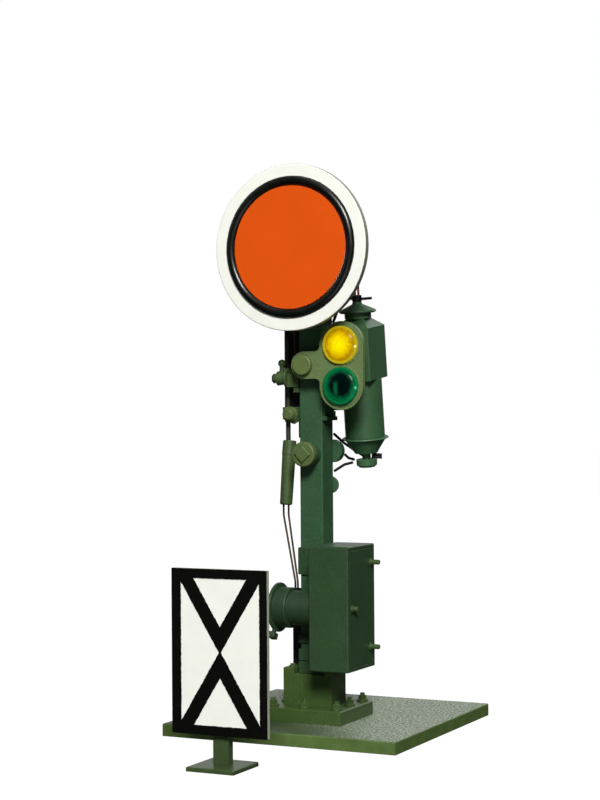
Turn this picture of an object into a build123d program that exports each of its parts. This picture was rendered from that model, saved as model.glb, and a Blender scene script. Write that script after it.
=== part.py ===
from build123d import *
import os
from math import cos, radians, sin

# A 1:87 model of a disc distant signal with its separate marker board.
# Millimetres. Z is up, the signal faces -Y, and X is to the right of someone facing it.
# The origin is under the mast's axis, on the base plate's underside.

# ---- mast and foot ----------------------------------------------------------------------
MAST_WIDTH = 1.75
MAST_WALL = 0.25
MAST_TOP = 33.0
MAST_FACE = MAST_WIDTH / 2              # distance of each mast face from the mast's axis

MID_BOSS_Z = 19.19
MID_BOSS_RADIUS = 0.87
MID_BOSS_FRONT = -2.2
BOSS_SEAT_RADIUS = 0.8                   # the mast's own round seat behind the boss
BOSS_SEAT_HEIGHT = 0.85
MID_BOLT_RADIUS = 0.22

PLATE_LOW = (-8.65, -6.6)
PLATE_HIGH = (8.65, 10.5)
PLATE_THICK = 0.86

FLANGE_HALF_X = 2.96
FLANGE_HALF_Y = 2.76
FLANGE_TOP = PLATE_THICK + 0.97
FOOT_BOLT_X = 2.4
FOOT_BOLT_Y = 2.15
FOOT_BOLT_RADIUS = 0.19

SOCKET_LEFT = -2.1
SOCKET_STEP = -1.28                     # where the side lug meets the socket's body
SOCKET_RIGHT = 1.62
SOCKET_FRONT = -1.25
SOCKET_BACK = 1.06
SOCKET_TOP = 4.0
LUG_TOP = 4.4                            # the side lug stands higher than the socket's body
SHOULDER_LEFT = 1.07                     # the shoulder under the drive box, on the socket's right
SHOULDER_TOP = 4.55

# ---- signal disc ------------------------------------------------------------------------
DISC_Z = 33.25
DISC_RADIUS = 5.67
DISC_THICK = 0.52
DISC_FRONT = -4.0
DISC_BACK = DISC_FRONT + DISC_THICK
RING_INNER = 4.19
RING_OUTER = 4.85
RING_HEIGHT = 0.24
PAINT_THICK = 0.06
HINGE_Y = DISC_BACK + 0.43
HINGE_PIN_RADIUS = 0.15
CHEEK_INNER = 0.42                      # the bracket's cheeks, each side of the hub
CHEEK_OUTER = 0.65

# ---- spectacle --------------------------------------------------------------------------
SPECTACLE_Z = 25.3
SPECTACLE_FRONT = -1.98
SPECTACLE_THICK = 0.35
SPECTACLE_BACK = SPECTACLE_FRONT + SPECTACLE_THICK
LENS_X = 2.85
YELLOW_UP = 1.33
GREEN_UP = -1.47
LENS_RADIUS = 1.3
LENS_EDGE = 0.5                          # from the lens's back to where its dome begins
LENS_RISE = 0.25
RIM_RADIUS = 1.43
LOBE_RADIUS = 1.63
PIVOT_LOBE = 0.94
BOSS_RADIUS = 0.70
BOSS_HEIGHT = 0.36
PIVOT_PIN_RADIUS = 0.15
SPECTACLE_SWING = 49.0                  # degrees, yellow to green

# ---- linkage ----------------------------------------------------------------------------
ROD_X = -2.31
ROD_Y = 0.25
ROD_RADIUS = 0.17
ROD_TRAVEL = 1.2                        # the push rod's way down, from warning to clear
ROD_TOP_X = -1.9
LINK_X = -0.9
LINK_WIRE = 0.08                        # radius of the link's wire and of the small pins
SLOT_PLAY = 0.05
TAIL_PIN_REACH = 0.8                    # spectacle tail pin, from the spectacle's pivot
TAIL_PIN_ANGLE = 130.0
LINK_TRAVEL = TAIL_PIN_REACH * (
    sin(radians(TAIL_PIN_ANGLE)) - sin(radians(TAIL_PIN_ANGLE + SPECTACLE_SWING))
)
HALF_TURN = 45.0                        # a quarter turn of the disc, split about level
ROD_PIN_REACH = ROD_TRAVEL / 2 / sin(radians(HALF_TURN))
LINK_PIN_REACH = LINK_TRAVEL / 2 / sin(radians(HALF_TURN))

CROSS_Y = -0.75                         # cross shaft at the mast's left side
CROSS_Z = 24.45
CROSS_SHAFT_RADIUS = 0.15
CRANK_REACH = 1.1
CRANK_RISE = ROD_TRAVEL / 2
COLLAR_RADIUS = 0.30
COLLAR_THICK = 0.15

SLEEVE_TOP = (-2.2, 0.25, 20.1)
SLEEVE_BOTTOM = (-2.3, -0.2, 15.6)
SLEEVE_RADIUS = 0.5
PULL_WIRE = 0.07

# ---- drive box and drum -----------------------------------------------------------------
BOX_LOW = (1.05, -3.6, 4.58)
BOX_HIGH = (4.0, 0.8, 13.02)
BOX_WALL = 0.25
COVER_THICK = 0.22
COVER_PIN_RADIUS = 0.17
COVER_PINS = ((0.1, 11.77), (0.0, 5.99), (-2.95, 8.84))     # y and z of each pin on the cover
COVER_PIN_LENGTHS = (0.7, 0.7, 0.42)
BUSH_RADIUS = 0.5
DRUM_Y = -2.38
DRUM_Z = 8.68
DRUM_FACE = -1.95
FLANGE_RADIUS = 1.70
DRUM_RADIUS = 1.39
NECK_RADIUS = 1.19
AXLE_RADIUS = 0.25
AXLE_END = 1.98
DRUM_TURN = ROD_TRAVEL / DRUM_RADIUS    # radians
CRANK_ARM = 1.95
COIL_X = 2.55
COIL_RADIUS = 0.95
COIL_LOW = BOX_LOW[2] + BOX_WALL
COIL_HIGH = 7.2
PLUNGER_RADIUS = 0.30

# ---- lantern, in its own upright frame around the light, then leaned forward -------------
LANTERN = Pos(2.68, 1.5, 26.65) * Rot(X=7.5)
LAMP_HALF_X = 1.34
LAMP_HALF_Y = 1.5
LAMP_BOTTOM = -2.3
LAMP_TOP = 1.35
LAMP_WALL = 0.2
WINDOW_RADIUS = 0.95
ROOF_TOP = 1.95
CHIMNEY_RADIUS = 0.93
CHIMNEY_TOP = 2.34
CAP_RADIUS = 1.31
TANK_RADIUS = 1.39
TANK_BOTTOM = -6.4
CONE_BOTTOM = -7.5

# ---- marker board -----------------------------------------------------------------------
BOARD_X = 0.72
BOARD_FRONT = -15.5
BOARD_WIDTH = 6.68
BOARD_LOW = 2.12
BOARD_HIGH = 12.39
BOARD_THICK = 0.3
PRINT_THICK = 0.05
FRAME_WIDTH = 0.58
POST_WIDTH = 1.06
POST_DEPTH = 0.62
FOOT_THICK = 0.28

BASE = (Align.CENTER, Align.CENTER, Align.MIN)


# ---- helpers ----------------------------------------------------------------------------
def block(low, high):
    """A box between two opposite corners."""
    size = [b - a for a, b in zip(low, high)]
    centre = [(a + b) / 2 for a, b in zip(low, high)]
    return Pos(*centre) * Box(*size)


def rod(start, end, radius, end_radius=None):
    """A round rod between two points, tapered when the end has its own radius."""
    axis = Vector(*end) - Vector(*start)
    if end_radius is None:
        shape = Cylinder(radius, axis.length, align=BASE)
    else:
        shape = Cone(radius, end_radius, axis.length, align=BASE)
    return Plane(origin=start, z_dir=axis) * shape


def wire(points, radius, bend):
    """A bent wire of round section through the points, with rounded corners."""
    path = FilletPolyline(*points, radius=bend)
    section = Plane(origin=path @ 0, z_dir=path % 0) * Circle(radius)
    return sweep(section, path=path)


def facing(x, y, z):
    """A plane seen from the front: its X is right, its Y is up and its Z comes forward."""
    return Plane(origin=(x, y, z), x_dir=(1, 0, 0), z_dir=(0, -1, 0))


def sideways(x, y, z):
    """A plane seen from the right: its X is back, its Y is up and its Z points right."""
    return Plane(origin=(x, y, z), x_dir=(0, 1, 0), z_dir=(1, 0, 0))


def turned(*outline):
    """A solid of revolution about Z from (radius, height) points."""
    face = make_face(Polyline(*[(r, 0, h) for r, h in outline], close=True))
    return revolve(face, Axis.Z)


def ring(outer, inner, height):
    """A flat ring standing on its plane."""
    return Cylinder(outer, height, align=BASE) - Cylinder(inner, height, align=BASE)


def bolt_head(across, height, washer):
    """A hexagon bolt head on a washer, standing on its plane."""
    head = extrude(RegularPolygon(across / 2, 6), height)
    return Cylinder(washer, height / 3, align=BASE) + head


# ---- foot -------------------------------------------------------------------------------
def foot_bolt_places():
    """Eight bolts round the flange: three in front, three behind and one each side."""
    places = [(x, y) for x in (-FOOT_BOLT_X, 0, FOOT_BOLT_X) for y in (-FOOT_BOLT_Y, FOOT_BOLT_Y)]
    return places + [(-FOOT_BOLT_X, 0), (FOOT_BOLT_X, 0)]


def bolt_holes(top):
    """The clearance holes for the foot bolts, up to a height."""
    depth = top + 0.1
    return [Pos(x, y, -0.05) * Cylinder(FOOT_BOLT_RADIUS + 0.02, depth, align=BASE)
            for x, y in foot_bolt_places()]


def base_plate():
    plate = block((*PLATE_LOW, 0), (*PLATE_HIGH, PLATE_THICK))
    plate = chamfer(plate.edges().group_by(Axis.Z)[-1], 0.06)
    return plate - bolt_holes(PLATE_THICK)


def mast_well(low, high):
    """The square hole that the mast stands in."""
    half = MAST_FACE + 0.01
    return block((-half, -half, low), (half, half, high))


def foot_flange():
    flange = block((-FLANGE_HALF_X, -FLANGE_HALF_Y, PLATE_THICK),
                   (FLANGE_HALF_X, FLANGE_HALF_Y, FLANGE_TOP))
    flange = fillet(flange.edges().filter_by(Axis.Z), 0.12)
    flange = chamfer(flange.edges().group_by(Axis.Z)[-1], 0.07)
    return flange - bolt_holes(FLANGE_TOP) - mast_well(PLATE_THICK, FLANGE_TOP)


def foot_bolts():
    bolts = []
    for x, y in foot_bolt_places():
        head = Pos(x, y, FLANGE_TOP) * bolt_head(0.62, 0.42, 0.4)
        shank = Pos(x, y, 0.05) * Cylinder(FOOT_BOLT_RADIUS, FLANGE_TOP, align=BASE)
        tip = Pos(x, y, FLANGE_TOP + 0.42) * Cylinder(0.16, 0.18, align=BASE)
        bolts.append(head + shank + tip)
    return bolts


def foot_socket():
    """The cast socket round the mast, with a ribbed lug on its left."""
    body = block((SOCKET_STEP, SOCKET_FRONT, FLANGE_TOP), (SOCKET_RIGHT, SOCKET_BACK, SOCKET_TOP))
    lug = block((SOCKET_LEFT, SOCKET_FRONT + 0.08, FLANGE_TOP),
                (SOCKET_STEP, SOCKET_BACK - 0.3, LUG_TOP))
    body = chamfer(body.edges().group_by(Axis.Z)[-1], 0.07)
    lug = chamfer(lug.edges().group_by(Axis.Z)[-1], 0.07)
    shoulder = block((SHOULDER_LEFT, SOCKET_FRONT, SOCKET_TOP - 0.5),
                     (SOCKET_RIGHT, SOCKET_BACK, SHOULDER_TOP))
    socket = body + lug + shoulder
    for x in (SOCKET_STEP + 0.1, SOCKET_STEP + 0.38):
        socket -= block((x, SOCKET_FRONT - 0.1, FLANGE_TOP + 0.2),
                        (x + 0.08, SOCKET_FRONT + 0.07, LUG_TOP + 0.1))
    return socket - mast_well(FLANGE_TOP, SOCKET_TOP)


def socket_screw():
    """The clamp screw that stands on the socket's left shoulder."""
    x = (SOCKET_LEFT + SOCKET_STEP) / 2 + 0.1
    return Pos(x, SOCKET_FRONT + 0.5, LUG_TOP) * bolt_head(0.4, 0.22, 0.26)


# ---- mast -------------------------------------------------------------------------------
def mast():
    """The square tube, with a round seat for the boss on its front."""
    outside = block((-MAST_FACE, -MAST_FACE, PLATE_THICK), (MAST_FACE, MAST_FACE, MAST_TOP))
    outside = fillet(outside.edges().filter_by(Axis.Z), 0.09)
    inside = MAST_FACE - MAST_WALL
    tube = outside - block((-inside, -inside, PLATE_THICK), (inside, inside, MAST_TOP))
    seat = facing(0, -MAST_FACE, MID_BOSS_Z) * Cylinder(BOSS_SEAT_RADIUS, BOSS_SEAT_HEIGHT, align=BASE)
    bolt_hole = facing(0, 0, MID_BOSS_Z) * Cylinder(
        MID_BOLT_RADIUS + 0.02, MAST_FACE + BOSS_SEAT_HEIGHT, align=BASE)
    return tube + seat - bolt_hole


def mast_cap():
    half = MAST_FACE + 0.04
    inside = MAST_FACE - MAST_WALL - 0.02
    lid = block((-half, -half, MAST_TOP), (half, half, MAST_TOP + 0.16))
    plug = block((-inside, -inside, MAST_TOP - 0.6), (inside, inside, MAST_TOP))
    return fillet(lid.edges().group_by(Axis.Z)[-1], 0.05) + plug


def mid_boss():
    """The round boss on the mast's front that the square-headed bolt clamps."""
    seat_y = -MAST_FACE - BOSS_SEAT_HEIGHT
    height = seat_y - MID_BOSS_FRONT
    boss = Cylinder(MID_BOSS_RADIUS, height, align=BASE)
    boss = fillet(boss.edges().group_by(Axis.Z)[-1], 0.12)
    boss -= Cylinder(MID_BOLT_RADIUS + 0.02, height, align=BASE)
    return facing(0, seat_y, MID_BOSS_Z) * boss


def square_bolt():
    head = extrude(Rectangle(0.86, 0.86), 0.16)
    head = chamfer(head.edges().group_by(Axis.Z)[-1], 0.05)
    length = -MAST_FACE - MID_BOSS_FRONT + MAST_WALL
    shank = Pos(0, 0, -length) * Cylinder(MID_BOLT_RADIUS, length, align=BASE)
    return facing(0, MID_BOSS_FRONT, MID_BOSS_Z) * Rot(Z=42) * (head + shank)


def rear_boss():
    """The wire guide boss behind the mast."""
    boss = rod((0.72, MAST_FACE, 19.36), (0.72, MAST_FACE + 0.65, 19.36), 0.8)
    return fillet(boss.edges().filter_by(GeomType.CIRCLE).sort_by(Axis.Y)[-1], 0.15)


def rear_stud():
    """The domed stud below the wire guide."""
    dome = Sphere(0.62) & Pos(0, 0, 0.31) * Box(2, 2, 0.62)
    return Plane(origin=(0.62, MAST_FACE, 17.0), z_dir=(0, 1, 0)) * dome


# ---- disc -------------------------------------------------------------------------------
def disc_bracket():
    """The fork on the mast's front that carries the disc's hinge."""
    pad = block((-CHEEK_OUTER, -MAST_FACE - 0.3, DISC_Z - 1.5),
                (CHEEK_OUTER, -MAST_FACE, DISC_Z - 0.45))
    outline = Polyline(
        (-MAST_FACE - 0.3, DISC_Z - 1.5),
        (HINGE_Y + 0.2, DISC_Z - 0.33),
        (HINGE_Y + 0.2, DISC_Z + 0.33),
        (-MAST_FACE - 0.3, DISC_Z - 0.45),
        close=True,
    )
    cheek = make_face(outline) + Pos(HINGE_Y, DISC_Z) * Circle(0.36)
    fork = pad
    for x in (-CHEEK_OUTER, CHEEK_INNER):
        fork += sideways(x, 0, 0) * extrude(cheek, CHEEK_OUTER - CHEEK_INNER)
    hole = rod((-1, HINGE_Y, DISC_Z), (1, HINGE_Y, DISC_Z), HINGE_PIN_RADIUS + 0.01)
    return fork - hole


def hinge_pin():
    shaft = rod((-0.71, HINGE_Y, DISC_Z), (0.78, HINGE_Y, DISC_Z), HINGE_PIN_RADIUS)
    head = rod((CHEEK_OUTER, HINGE_Y, DISC_Z), (0.78, HINGE_Y, DISC_Z), 0.26)
    return shaft + head


def disc_plate():
    plate = Cylinder(DISC_RADIUS, DISC_THICK, align=BASE)
    plate = fillet(plate.edges().filter_by(GeomType.CIRCLE), 0.07)
    return facing(0, DISC_BACK, DISC_Z) * plate


def disc_ring():
    """The raised round-backed ring between the disc's two colours."""
    middle = (RING_INNER + RING_OUTER) / 2
    foot = Line((RING_OUTER, 0, 0), (RING_INNER, 0, 0))
    arch = ThreePointArc((RING_INNER, 0, 0), (middle, 0, RING_HEIGHT), (RING_OUTER, 0, 0))
    return facing(0, DISC_FRONT, DISC_Z) * revolve(make_face([foot, arch]), Axis.Z)


def disc_face():
    """The coloured centre of the disc, inside the ring."""
    return facing(0, DISC_FRONT, DISC_Z) * Cylinder(RING_INNER - 0.01, PAINT_THICK, align=BASE)


def tail_tab(x, reach):
    """A tab behind the disc, with a pin at its tip that starts half a right angle above level."""
    rise = reach * sin(radians(HALF_TURN))
    y, z = HINGE_Y + rise, DISC_Z + rise
    root = Polyline((DISC_BACK, DISC_Z - 0.3), (DISC_BACK, DISC_Z + 0.75),
                    (y, z + 0.16), (y, z - 0.16), close=True)
    outline = make_face(root) + Pos(y, z) * Circle(0.16)
    tab = sideways(x + 0.1, 0, 0) * extrude(outline, 0.14)
    return tab + rod((x - 0.12, y, z), (x + 0.15, y, z), LINK_WIRE)


def disc_carrier():
    """The casting behind the disc: hinge hub, pad and the two tail tabs."""
    pad = block((-2.0, DISC_BACK, DISC_Z - 0.42), (0.9, DISC_BACK + 0.12, DISC_Z + 0.9))
    hub = rod((-CHEEK_INNER + 0.05, HINGE_Y, DISC_Z), (CHEEK_INNER - 0.05, HINGE_Y, DISC_Z), 0.32)
    web = block((-CHEEK_INNER + 0.05, DISC_BACK, DISC_Z - 0.32),
                (CHEEK_INNER - 0.05, HINGE_Y, DISC_Z + 0.32))
    bore = rod((-1, HINGE_Y, DISC_Z), (1, HINGE_Y, DISC_Z), HINGE_PIN_RADIUS + 0.03)
    tabs = tail_tab(LINK_X, LINK_PIN_REACH) + tail_tab(ROD_TOP_X, ROD_PIN_REACH)
    clear = [block((side - 0.14, DISC_BACK + 0.01, DISC_Z - 0.42),
                   (side + 0.14, DISC_BACK + 0.2, DISC_Z + 0.42))
             for side in (-(CHEEK_INNER + CHEEK_OUTER) / 2, (CHEEK_INNER + CHEEK_OUTER) / 2)]
    return pad - clear + hub + web + tabs - bore


# ---- spectacle --------------------------------------------------------------------------
def lens_places():
    """The yellow and the green lens, in the spectacle's own plane."""
    return ((LENS_X, YELLOW_UP), (LENS_X, GREEN_UP))


def spectacle_plate():
    """The plate that holds both lenses, with a tail pin behind its pivot lobe."""
    middle = (YELLOW_UP + GREEN_UP) / 2
    pair = Pos(LENS_X, middle) * Rot(Z=90) * SlotCenterToCenter(YELLOW_UP - GREEN_UP, 2 * LOBE_RADIUS)
    arm = Pos(LENS_X / 2, 0) * Rectangle(LENS_X, 2 * PIVOT_LOBE)
    outline = pair + arm + Circle(PIVOT_LOBE)
    waist = LENS_X - LOBE_RADIUS
    corners = outline.vertices().filter_by_position(Axis.X, waist - 0.1, waist + 0.1)
    corners = corners.filter_by_position(Axis.Y, -PIVOT_LOBE - 0.1, PIVOT_LOBE + 0.1)
    outline = fillet(corners, 0.35)
    plate = extrude(outline, SPECTACLE_THICK)
    for x, y in lens_places():
        plate += Pos(x, y, 0) * Cylinder(RIM_RADIUS, SPECTACLE_THICK + 0.04, align=BASE)
    for x, y in lens_places():
        plate -= Pos(x, y, 0) * Cylinder(LENS_RADIUS, 1, align=BASE)
    plate -= Cylinder(PIVOT_PIN_RADIUS + 0.03, SPECTACLE_THICK, align=BASE)
    tail_x = TAIL_PIN_REACH * cos(radians(TAIL_PIN_ANGLE))
    tail_up = TAIL_PIN_REACH * sin(radians(TAIL_PIN_ANGLE))
    plate += Pos(tail_x, tail_up, -0.28) * Cylinder(LINK_WIRE, 0.38, align=BASE)
    return facing(0, SPECTACLE_BACK, SPECTACLE_Z) * plate


def spectacle_boss():
    """The round cap over the spectacle's pivot."""
    boss = Cylinder(BOSS_RADIUS, BOSS_HEIGHT, align=BASE)
    boss = fillet(boss.edges().group_by(Axis.Z)[-1], 0.1)
    return facing(0, SPECTACLE_FRONT, SPECTACLE_Z) * boss


def lens(up):
    """A coloured lens with a gently domed front."""
    radius = LENS_RADIUS - 0.01
    depth = LENS_EDGE + LENS_RISE
    curve = (radius ** 2 + LENS_RISE ** 2) / (2 * LENS_RISE)
    front = Pos(0, 0, depth - curve) * Sphere(curve)
    shape = Cylinder(radius, depth, align=BASE) & front
    return facing(LENS_X, SPECTACLE_BACK, SPECTACLE_Z + up) * shape


def spectacle_pivot():
    """The pivot pin and its spacer, fixed to the mast's front."""
    spacer = rod((0, -MAST_FACE, SPECTACLE_Z), (0, SPECTACLE_BACK + 0.03, SPECTACLE_Z), 0.24)
    pin = rod((0, -MAST_FACE, SPECTACLE_Z), (0, SPECTACLE_FRONT + 0.03, SPECTACLE_Z), PIVOT_PIN_RADIUS)
    return spacer + pin


def spectacle_link():
    """The wire from the disc's tail tab to the spectacle, with a slotted end at each pin."""
    wire_y = SPECTACLE_BACK + 0.18
    left = TAIL_PIN_REACH * cos(radians(TAIL_PIN_ANGLE + SPECTACLE_SWING))
    right = TAIL_PIN_REACH * cos(radians(TAIL_PIN_ANGLE))
    foot_z = SPECTACLE_Z + TAIL_PIN_REACH * sin(radians(TAIL_PIN_ANGLE))
    gap = LINK_WIRE + SLOT_PLAY
    foot = block((left - gap - 0.1, wire_y - 0.07, foot_z - gap - 0.09),
                 (right + gap + 0.06, wire_y + 0.07, foot_z + gap + 0.09))
    foot -= block((left - gap, wire_y - 0.1, foot_z - gap), (right + gap, wire_y + 0.1, foot_z + gap))
    near = HINGE_Y + LINK_PIN_REACH * cos(radians(HALF_TURN))
    far = HINGE_Y + LINK_PIN_REACH
    head_z = DISC_Z + LINK_TRAVEL / 2
    head = block((LINK_X - 0.07, near - gap - 0.09, head_z - gap - 0.09),
                 (LINK_X + 0.07, far + gap + 0.09, head_z + gap + 0.09))
    head -= block((LINK_X - 0.1, near - gap, head_z - gap), (LINK_X + 0.1, far + gap, head_z + gap))
    head_y = (near + far) / 2
    stem = wire(
        [(LINK_X, wire_y, foot_z + gap + 0.02), (LINK_X, wire_y, 30.6),
         (LINK_X, head_y, 32.2), (LINK_X, head_y, head_z - gap - 0.02)],
        LINK_WIRE, 0.4)
    return foot + stem + head


# ---- push rod ---------------------------------------------------------------------------
def push_rod():
    """The round rod beside the mast, with two collars that hold the crank's pin between them."""
    shape = rod((ROD_X, ROD_Y, 19.5), (ROD_X, ROD_Y, 27.1), ROD_RADIUS)
    pin_z = CROSS_Z + CRANK_RISE
    gap = LINK_WIRE + SLOT_PLAY
    for z in (pin_z + gap, pin_z - gap - COLLAR_THICK):
        shape += Pos(ROD_X, ROD_Y, z) * Cylinder(COLLAR_RADIUS, COLLAR_THICK, align=BASE)
    return shape


def rod_hook():
    """The wire that carries the push rod's motion forward and up to the disc's tail tab."""
    gap = LINK_WIRE + SLOT_PLAY
    near = HINGE_Y + ROD_PIN_REACH * cos(radians(HALF_TURN))
    far = HINGE_Y + ROD_PIN_REACH
    top = DISC_Z + ROD_TRAVEL / 2
    head = block((ROD_TOP_X - 0.07, near - gap - 0.09, top - gap - 0.09),
                 (ROD_TOP_X + 0.07, far + gap + 0.09, top + gap + 0.09))
    head -= block((ROD_TOP_X - 0.1, near - gap, top - gap), (ROD_TOP_X + 0.1, far + gap, top + gap))
    head_y = (near + far) / 2
    stem = wire(
        [(ROD_X, ROD_Y, 27.1), (ROD_X, ROD_Y, 27.6), (ROD_TOP_X, head_y, 29.2),
         (ROD_TOP_X, head_y, top - gap - 0.02)],
        0.1, 0.2)
    return head + stem


def sleeve_point(share):
    """A point on the sleeve's leaning axis, from its top (0) to its bottom (1)."""
    return tuple(a + (b - a) * share for a, b in zip(SLEEVE_TOP, SLEEVE_BOTTOM))


def rod_sleeve():
    """The tapering sleeve that joins the push rod to the two pull wires."""
    body = rod(sleeve_point(0.22), sleeve_point(1), SLEEVE_RADIUS - 0.02, SLEEVE_RADIUS - 0.06)
    body = fillet(body.edges().filter_by(GeomType.CIRCLE).sort_by(Axis.Z)[0], 0.12)
    cap = rod(sleeve_point(0.22), sleeve_point(0), SLEEVE_RADIUS, SLEEVE_RADIUS - 0.03)
    cap = fillet(cap.edges().filter_by(GeomType.CIRCLE).sort_by(Axis.Z)[-1], 0.07)
    sleeve = body + cap - rod((ROD_X, ROD_Y, 19.5), (ROD_X, ROD_Y, 21), ROD_RADIUS + 0.01)
    for x, y, z in pull_wire_starts():
        sleeve -= rod((x, y, 16.4), (x, y, 15.0), PULL_WIRE + 0.01)
    return sleeve


def pull_wire_starts():
    """Where the two wires leave the sleeve's lower end."""
    x, y, z = SLEEVE_BOTTOM
    return ((x - 0.19, y, z), (x + 0.2, y, z))


def pull_wires():
    """The two thin wires from the sleeve down to the back of the drum."""
    ends = ((-1.29, -0.84), (-1.11, -0.82))
    wires = []
    for start, end in zip(pull_wire_starts(), ends):
        route = [(*start[:2], 16.3), (*start[:2], 14.9), (end[0], end[1], 10.3), (end[0], end[1], 8.2)]
        wires.append(wire(route, PULL_WIRE, 0.8))
    return wires


# ---- cross shaft ------------------------------------------------------------------------
def pivot_bracket():
    """The bracket from the mast's left face that carries the cross shaft's bearing."""
    arm = block((-1.72, CROSS_Y - 0.3, CROSS_Z - 0.62), (-MAST_FACE, CROSS_Y + 0.3, CROSS_Z + 0.3))
    foot = block((-1.3, CROSS_Y - 0.2, CROSS_Z - 1.0), (-MAST_FACE, CROSS_Y + 0.3, CROSS_Z - 0.62))
    bore = rod((-2, CROSS_Y, CROSS_Z), (0, CROSS_Y, CROSS_Z), CROSS_SHAFT_RADIUS + 0.03)
    return arm + foot - bore


def bearing_housing():
    """The flanged bearing on the bracket, with a ball-topped oil cap above it."""
    flange = rod((-1.90, CROSS_Y, CROSS_Z), (-1.72, CROSS_Y, CROSS_Z), 0.69)
    flange = fillet(flange.edges().filter_by(GeomType.CIRCLE), 0.04)
    barrel = rod((-2.56, CROSS_Y, CROSS_Z), (-1.90, CROSS_Y, CROSS_Z), 0.5, 0.42)
    neck = rod((-2.27, CROSS_Y, CROSS_Z + 0.3), (-2.27, CROSS_Y, CROSS_Z + 0.95), 0.17)
    bore = rod((-3, CROSS_Y, CROSS_Z), (-1, CROSS_Y, CROSS_Z), CROSS_SHAFT_RADIUS + 0.03)
    ball = Pos(-2.27, CROSS_Y, CROSS_Z + 1.05) * Sphere(0.27)
    return flange + barrel + neck + ball - bore


def cross_shaft():
    shaft = rod((-2.95, CROSS_Y, CROSS_Z), (-1.0, CROSS_Y, CROSS_Z), CROSS_SHAFT_RADIUS)
    nut = Plane(origin=(-2.93, CROSS_Y, CROSS_Z), z_dir=(1, 0, 0)) * extrude(RegularPolygon(0.34, 6), 0.12)
    return shaft + nut


def crank_lever():
    """The crank outside the bearing, whose pin the push rod's collars carry up and down."""
    reach_y = (CRANK_REACH ** 2 - CRANK_RISE ** 2) ** 0.5
    y, z = CROSS_Y + reach_y, CROSS_Z + CRANK_RISE
    hub = rod((-2.80, CROSS_Y, CROSS_Z), (-2.64, CROSS_Y, CROSS_Z), 0.3)
    tip = rod((-2.80, y, z), (-2.64, y, z), 0.17)
    centre = Plane(origin=(-2.80, CROSS_Y, CROSS_Z), x_dir=(0, reach_y, CRANK_RISE), z_dir=(1, 0, 0))
    arm = centre * Pos(CRANK_REACH / 2, 0, 0.08) * Box(CRANK_REACH, 0.26, 0.16)
    pin = rod((-2.64, y, z), (-2.50, y, z), LINK_WIRE)
    bore = rod((-3, CROSS_Y, CROSS_Z), (-2, CROSS_Y, CROSS_Z), CROSS_SHAFT_RADIUS + 0.01)
    return hub + arm + tip + pin - bore


def upper_strip():
    """The dark strip behind the push rod, along the mast's left side."""
    strip = block((-2.68, 0.47, 21.4), (-MAST_FACE, 0.65, 31.2))
    return strip + block((-1.6, 0.47, 20.3), (-1.2, 0.65, 21.4))


def lower_strip():
    """The dark strip behind the mast's lower part, from behind the socket's lug to the drum."""
    left, back = -2.36, MAST_FACE + 0.15
    strip = block((left, MAST_FACE, SOCKET_TOP + 0.02), (-0.3, back, 9.7))
    return strip + block((left, MAST_FACE, LUG_TOP - 1.2), (SOCKET_STEP - 0.02, back, SOCKET_TOP + 0.02))


def guide_strip():
    """The two lengths of dark strip that run up the mast, as separate solids."""
    return [upper_strip(), lower_strip()]


def guide_bracket():
    """The plate in front of the push rod, with a notched lower edge, and its foot on the mast."""
    outline = Polyline((-2.55, 22.45), (-MAST_FACE, 22.45), (-MAST_FACE, 21.15),
                       (-1.25, 21.5), (-1.7, 21.25), (-2.55, 21.6), close=True)
    plate = facing(0, 0.04, 0) * extrude(make_face(outline), 0.16)
    foot = block((-1.4, 0.04, 21.6), (-MAST_FACE, 0.47, 22.3))
    return plate + foot


def guide_bolt():
    """The domed bolt on the guide bracket."""
    collar = Cylinder(0.55, 0.18, align=BASE)
    dome = Pos(0, 0, 0.18) * (Sphere(0.5) & Pos(0, 0, 0.2) * Box(2, 2, 0.4))
    return facing(-1.93, -0.12, 21.93) * (collar + dome)


# ---- drive box --------------------------------------------------------------------------
def box_shell():
    """The box, open on its right for the cover, with a bush hole in its left wall."""
    shell = block(BOX_LOW, BOX_HIGH)
    shell = fillet(shell.edges(), 0.1)
    low = (BOX_LOW[0] + BOX_WALL, BOX_LOW[1] + BOX_WALL, BOX_LOW[2] + BOX_WALL)
    high = (BOX_HIGH[0] + 1, BOX_HIGH[1] - BOX_WALL - 0.1, BOX_HIGH[2] - BOX_WALL)
    hole = rod((0, DRUM_Y, DRUM_Z), (2, DRUM_Y, DRUM_Z), BUSH_RADIUS + 0.01)
    return shell - block(low, high) - hole


def box_cover():
    play = 0.02
    cover = block((BOX_HIGH[0] - COVER_THICK, BOX_LOW[1] + BOX_WALL + play, BOX_LOW[2] + BOX_WALL + play),
                  (BOX_HIGH[0], BOX_HIGH[1] - BOX_WALL - 0.1 - play, BOX_HIGH[2] - BOX_WALL - play))
    cover = chamfer(cover.edges().group_by(Axis.X)[-1], 0.03)
    for y, z in COVER_PINS:
        cover -= rod((0, y, z), (9, y, z), COVER_PIN_RADIUS + 0.01)
    return cover


def cover_pins():
    """Two pins at the back edge of the cover and a shorter one near its front edge."""
    pins = []
    face = BOX_HIGH[0]
    for (y, z), length in zip(COVER_PINS, COVER_PIN_LENGTHS):
        pin = rod((face - COVER_THICK, y, z), (face + length, y, z), COVER_PIN_RADIUS)
        pin = fillet(pin.edges().filter_by(GeomType.CIRCLE).sort_by(Axis.X)[-1], 0.07)
        pins.append(pin + rod((face, y, z), (face + 0.1, y, z), 0.26))
    return pins


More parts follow.
